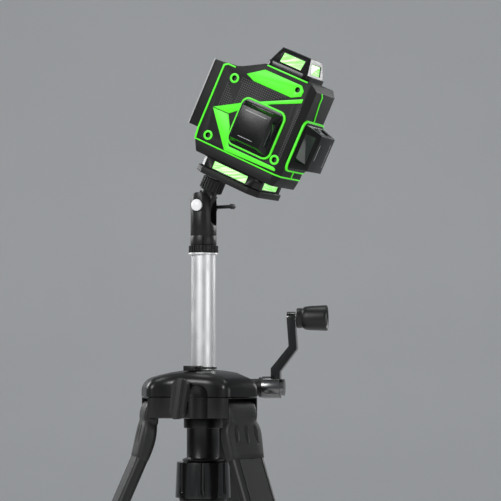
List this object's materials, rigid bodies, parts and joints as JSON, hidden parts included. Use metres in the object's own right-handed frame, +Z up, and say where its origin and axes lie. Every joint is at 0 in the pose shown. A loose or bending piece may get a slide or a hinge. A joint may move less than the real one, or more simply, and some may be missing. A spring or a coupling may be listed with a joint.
{
  "type": "laser level on tripod",
  "caption": "Cross-line laser level with beam heads on its faces, leaning on the tilt head of a crank-lifted column tripod with folding telescopic legs.",
  "frame": {"origin": "on the floor, at the centre of the box round the three feet", "axes": "+Z up; -Y is the front, facing the laser's wide green-panelled side; +X towards the crank"},
  "size_m": [0.4674, 0.4794, 0.8654],
  "materials": {
    "cast_black": "satin moulded, fine grain",
    "cover_black": "satin moulded",
    "gloss_black": "polished",
    "knurl_black": "satin",
    "tube_silver": "anodised, brushed lengthwise",
    "steel": "satin",
    "pin_white": "smooth, pale",
    "leg_dark": "dark anodised, satin",
    "rubber": "matt",
    "laser_black": "fine grain",
    "head_gloss": "polished",
    "window": "clear, faint green glow",
    "trim_green": "bright, smooth",
    "button_green": "soft"
  },
  "bodies": {
    "crown": {"crown_body": "cast_black", "crown_cover": "cover_black", "column_clamp": "knurl_black", "leg_pivot_pins": "steel", "guide_tube": "cover_black", "guide_tip": "knurl_black", "crank_bush": "cast_black"},
    "guide_collar": {"guide_collar": "gloss_black"},
    "wing_knob": {"wing_knob": "gloss_black"},
    "column": {"column_tube": "tube_silver", "column_rack": "steel", "column_end_cap": "knurl_black", "weight_hook": "steel", "head_flange": "tube_silver"},
    "head": {"head_body": "cast_black", "tilt_pin": "pin_white"},
    "pan_ring": {"pan_ring": "knurl_black"},
    "tilt": {"tilt_arm": "cast_black", "mount_screw": "steel", "laser_base": "laser_black"},
    "grip_sleeve": {"grip_sleeve": "knurl_black"},
    "tilt_lever": {"tilt_lever": "knurl_black"},
    "crank": {"pinion": "steel", "crank_shaft": "steel", "crank_hub": "gloss_black", "crank_arm": "cast_black", "knob_axle": "steel"},
    "crank_knob": {"crank_knob": "knurl_black"},
    "laser": {"bottom_head": "head_gloss", "laser_skirt": "laser_black", "laser_body": "laser_black", "side_head": "head_gloss", "front_head": "head_gloss", "top_head": "head_gloss", "laser_windows": "window", "laser_trim": "trim_green", "body_screws": "knurl_black"},
    "battery": {"battery_pack": "laser_black"},
    "power_button": {"power_button": "button_green"},
    "lock_switch": {"lock_switch": "knurl_black"},
    "leg_1": {"leg_1_casting": "cast_black", "leg_1_upper_tube": "leg_dark", "leg_1_lock_housing": "knurl_black"},
    "leg_1_lower": {"leg_1_lower_tube": "leg_dark", "leg_1_foot": "rubber"},
    "leg_1_lever": {"leg_1_lock_lever": "knurl_black"},
    "leg_2": {"leg_2_casting": "cast_black", "leg_2_upper_tube": "leg_dark", "leg_2_lock_housing": "knurl_black"},
    "leg_2_lower": {"leg_2_lower_tube": "leg_dark", "leg_2_foot": "rubber"},
    "leg_2_lever": {"leg_2_lock_lever": "knurl_black"},
    "leg_3": {"leg_3_casting": "cast_black", "leg_3_upper_tube": "leg_dark", "leg_3_lock_housing": "knurl_black"},
    "leg_3_lower": {"leg_3_lower_tube": "leg_dark", "leg_3_foot": "rubber"},
    "leg_3_lever": {"leg_3_lock_lever": "knurl_black"}
  },
  "joints": [
    {"name": "leg_1_fold", "type": "hinge", "parent": "crown", "child": "leg_1", "pos_m": [-0.01195, -0.03786, 0.512], "axis": [0.2079, -0.9781, 0], "range_deg": [0, 23.5]},
    {"name": "leg_1_extend", "type": "slide", "parent": "leg_1", "child": "leg_1_lower", "axis": [-0.39, -0.0829, -0.9171], "range_m": [-0.06, 0.18]},
    {"name": "leg_1_lock", "type": "hinge", "parent": "leg_1", "child": "leg_1_lever", "pos_m": [-0.17291, -0.07207, 0.14445], "axis": [0.2079, -0.9781, 0], "range_deg": [-100, 0]},
    {"name": "leg_2_fold", "type": "hinge", "parent": "crown", "child": "leg_2", "pos_m": [0.07536, -0.06623, 0.512], "axis": [0.7431, 0.6691, 0], "range_deg": [0, 23.5]},
    {"name": "leg_2_extend", "type": "slide", "parent": "leg_2", "child": "leg_2_lower", "axis": [0.2668, -0.2963, -0.9171], "range_m": [-0.06, 0.18]},
    {"name": "leg_2_lock", "type": "hinge", "parent": "leg_2", "child": "leg_2_lever", "pos_m": [0.18547, -0.18852, 0.14445], "axis": [0.7431, 0.6691, 0], "range_deg": [-100, 0]},
    {"name": "leg_3_fold", "type": "hinge", "parent": "crown", "child": "leg_3", "pos_m": [0.05627, 0.02356, 0.512], "axis": [-0.9511, 0.309, 0], "range_deg": [0, 23.5]},
    {"name": "leg_3_extend", "type": "slide", "parent": "leg_3", "child": "leg_3_lower", "axis": [0.1232, 0.3792, -0.9171], "range_m": [-0.06, 0.18]},
    {"name": "leg_3_lock", "type": "hinge", "parent": "leg_3", "child": "leg_3_lever", "pos_m": [0.10712, 0.18007, 0.14445], "axis": [-0.9511, 0.309, 0], "range_deg": [-100, 0]},
    {"name": "collar_turn", "type": "hinge", "parent": "crown", "child": "guide_collar", "pos_m": [0.03989, -0.02684, 0.44], "axis": [0, 0, 1], "range_deg": [0, 40]},
    {"name": "column_lock", "type": "hinge", "parent": "crown", "child": "wing_knob", "pos_m": [0.01885, -0.06998, 0.522], "axis": [-0.4384, -0.8988, 0], "range_deg": [-90, 90]},
    {"name": "column_lift", "type": "slide", "parent": "crown", "child": "column", "axis": [0, 0, 1], "range_m": [-0.1, 0.12]},
    {"name": "crank_turn", "type": "hinge", "parent": "crown", "child": "crank", "pos_m": [0.0428, -0.00847, 0.533], "axis": [0.9877, -0.1564, 0], "range_deg": [-1146, 955]},
    {"name": "crank_knob_spin", "type": "hinge", "parent": "crank", "child": "crank_knob", "pos_m": [0.1476, -0.02507, 0.602], "axis": [0.9877, -0.1564, 0], "continuous": true},
    {"name": "head_pan", "type": "hinge", "parent": "column", "child": "head", "pos_m": [0.03989, -0.02684, 0.685], "axis": [0, 0, 1], "continuous": true},
    {"name": "pan_ring_turn", "type": "hinge", "parent": "column", "child": "pan_ring", "pos_m": [0.03989, -0.02684, 0.67], "axis": [0, 0, 1], "range_deg": [-60, 60]},
    {"name": "tilt_hinge", "type": "hinge", "parent": "head", "child": "tilt", "pos_m": [0.03989, -0.02684, 0.714], "axis": [0.454, 0.891, 0], "range_deg": [-25.8, 64.2]},
    {"name": "tilt_lever_turn", "type": "hinge", "parent": "head", "child": "tilt_lever", "pos_m": [0.04716, -0.01259, 0.714], "axis": [0.454, 0.891, 0], "range_deg": [-40, 40]},
    {"name": "grip_turn", "type": "hinge", "parent": "tilt", "child": "grip_sleeve", "pos_m": [0.04959, -0.03178, 0.73651], "axis": [0.3878, -0.1976, 0.9003], "range_deg": [-170, 170]},
    {"name": "laser_turn", "type": "hinge", "parent": "tilt", "child": "laser", "pos_m": [0.07735, -0.04373, 0.74048], "axis": [0.3878, -0.1976, 0.9003], "continuous": true},
    {"name": "battery_slide", "type": "slide", "parent": "laser", "child": "battery", "axis": [-0.8347, 0.3392, 0.4339], "range_m": [0, 0.03]},
    {"name": "power_press", "type": "slide", "parent": "laser", "child": "power_button", "axis": [0.0438, 0.0177, -0.9989], "range_m": [0, 0.001]},
    {"name": "lock_slide", "type": "slide", "parent": "laser", "child": "lock_switch", "axis": [0.8347, -0.3392, -0.4339], "range_m": [0, 0.013]}
  ],
  "couplings": [
    {"joint": "crank_turn", "follows": "column_lift", "rad_per_m": -166.67}
  ]
}
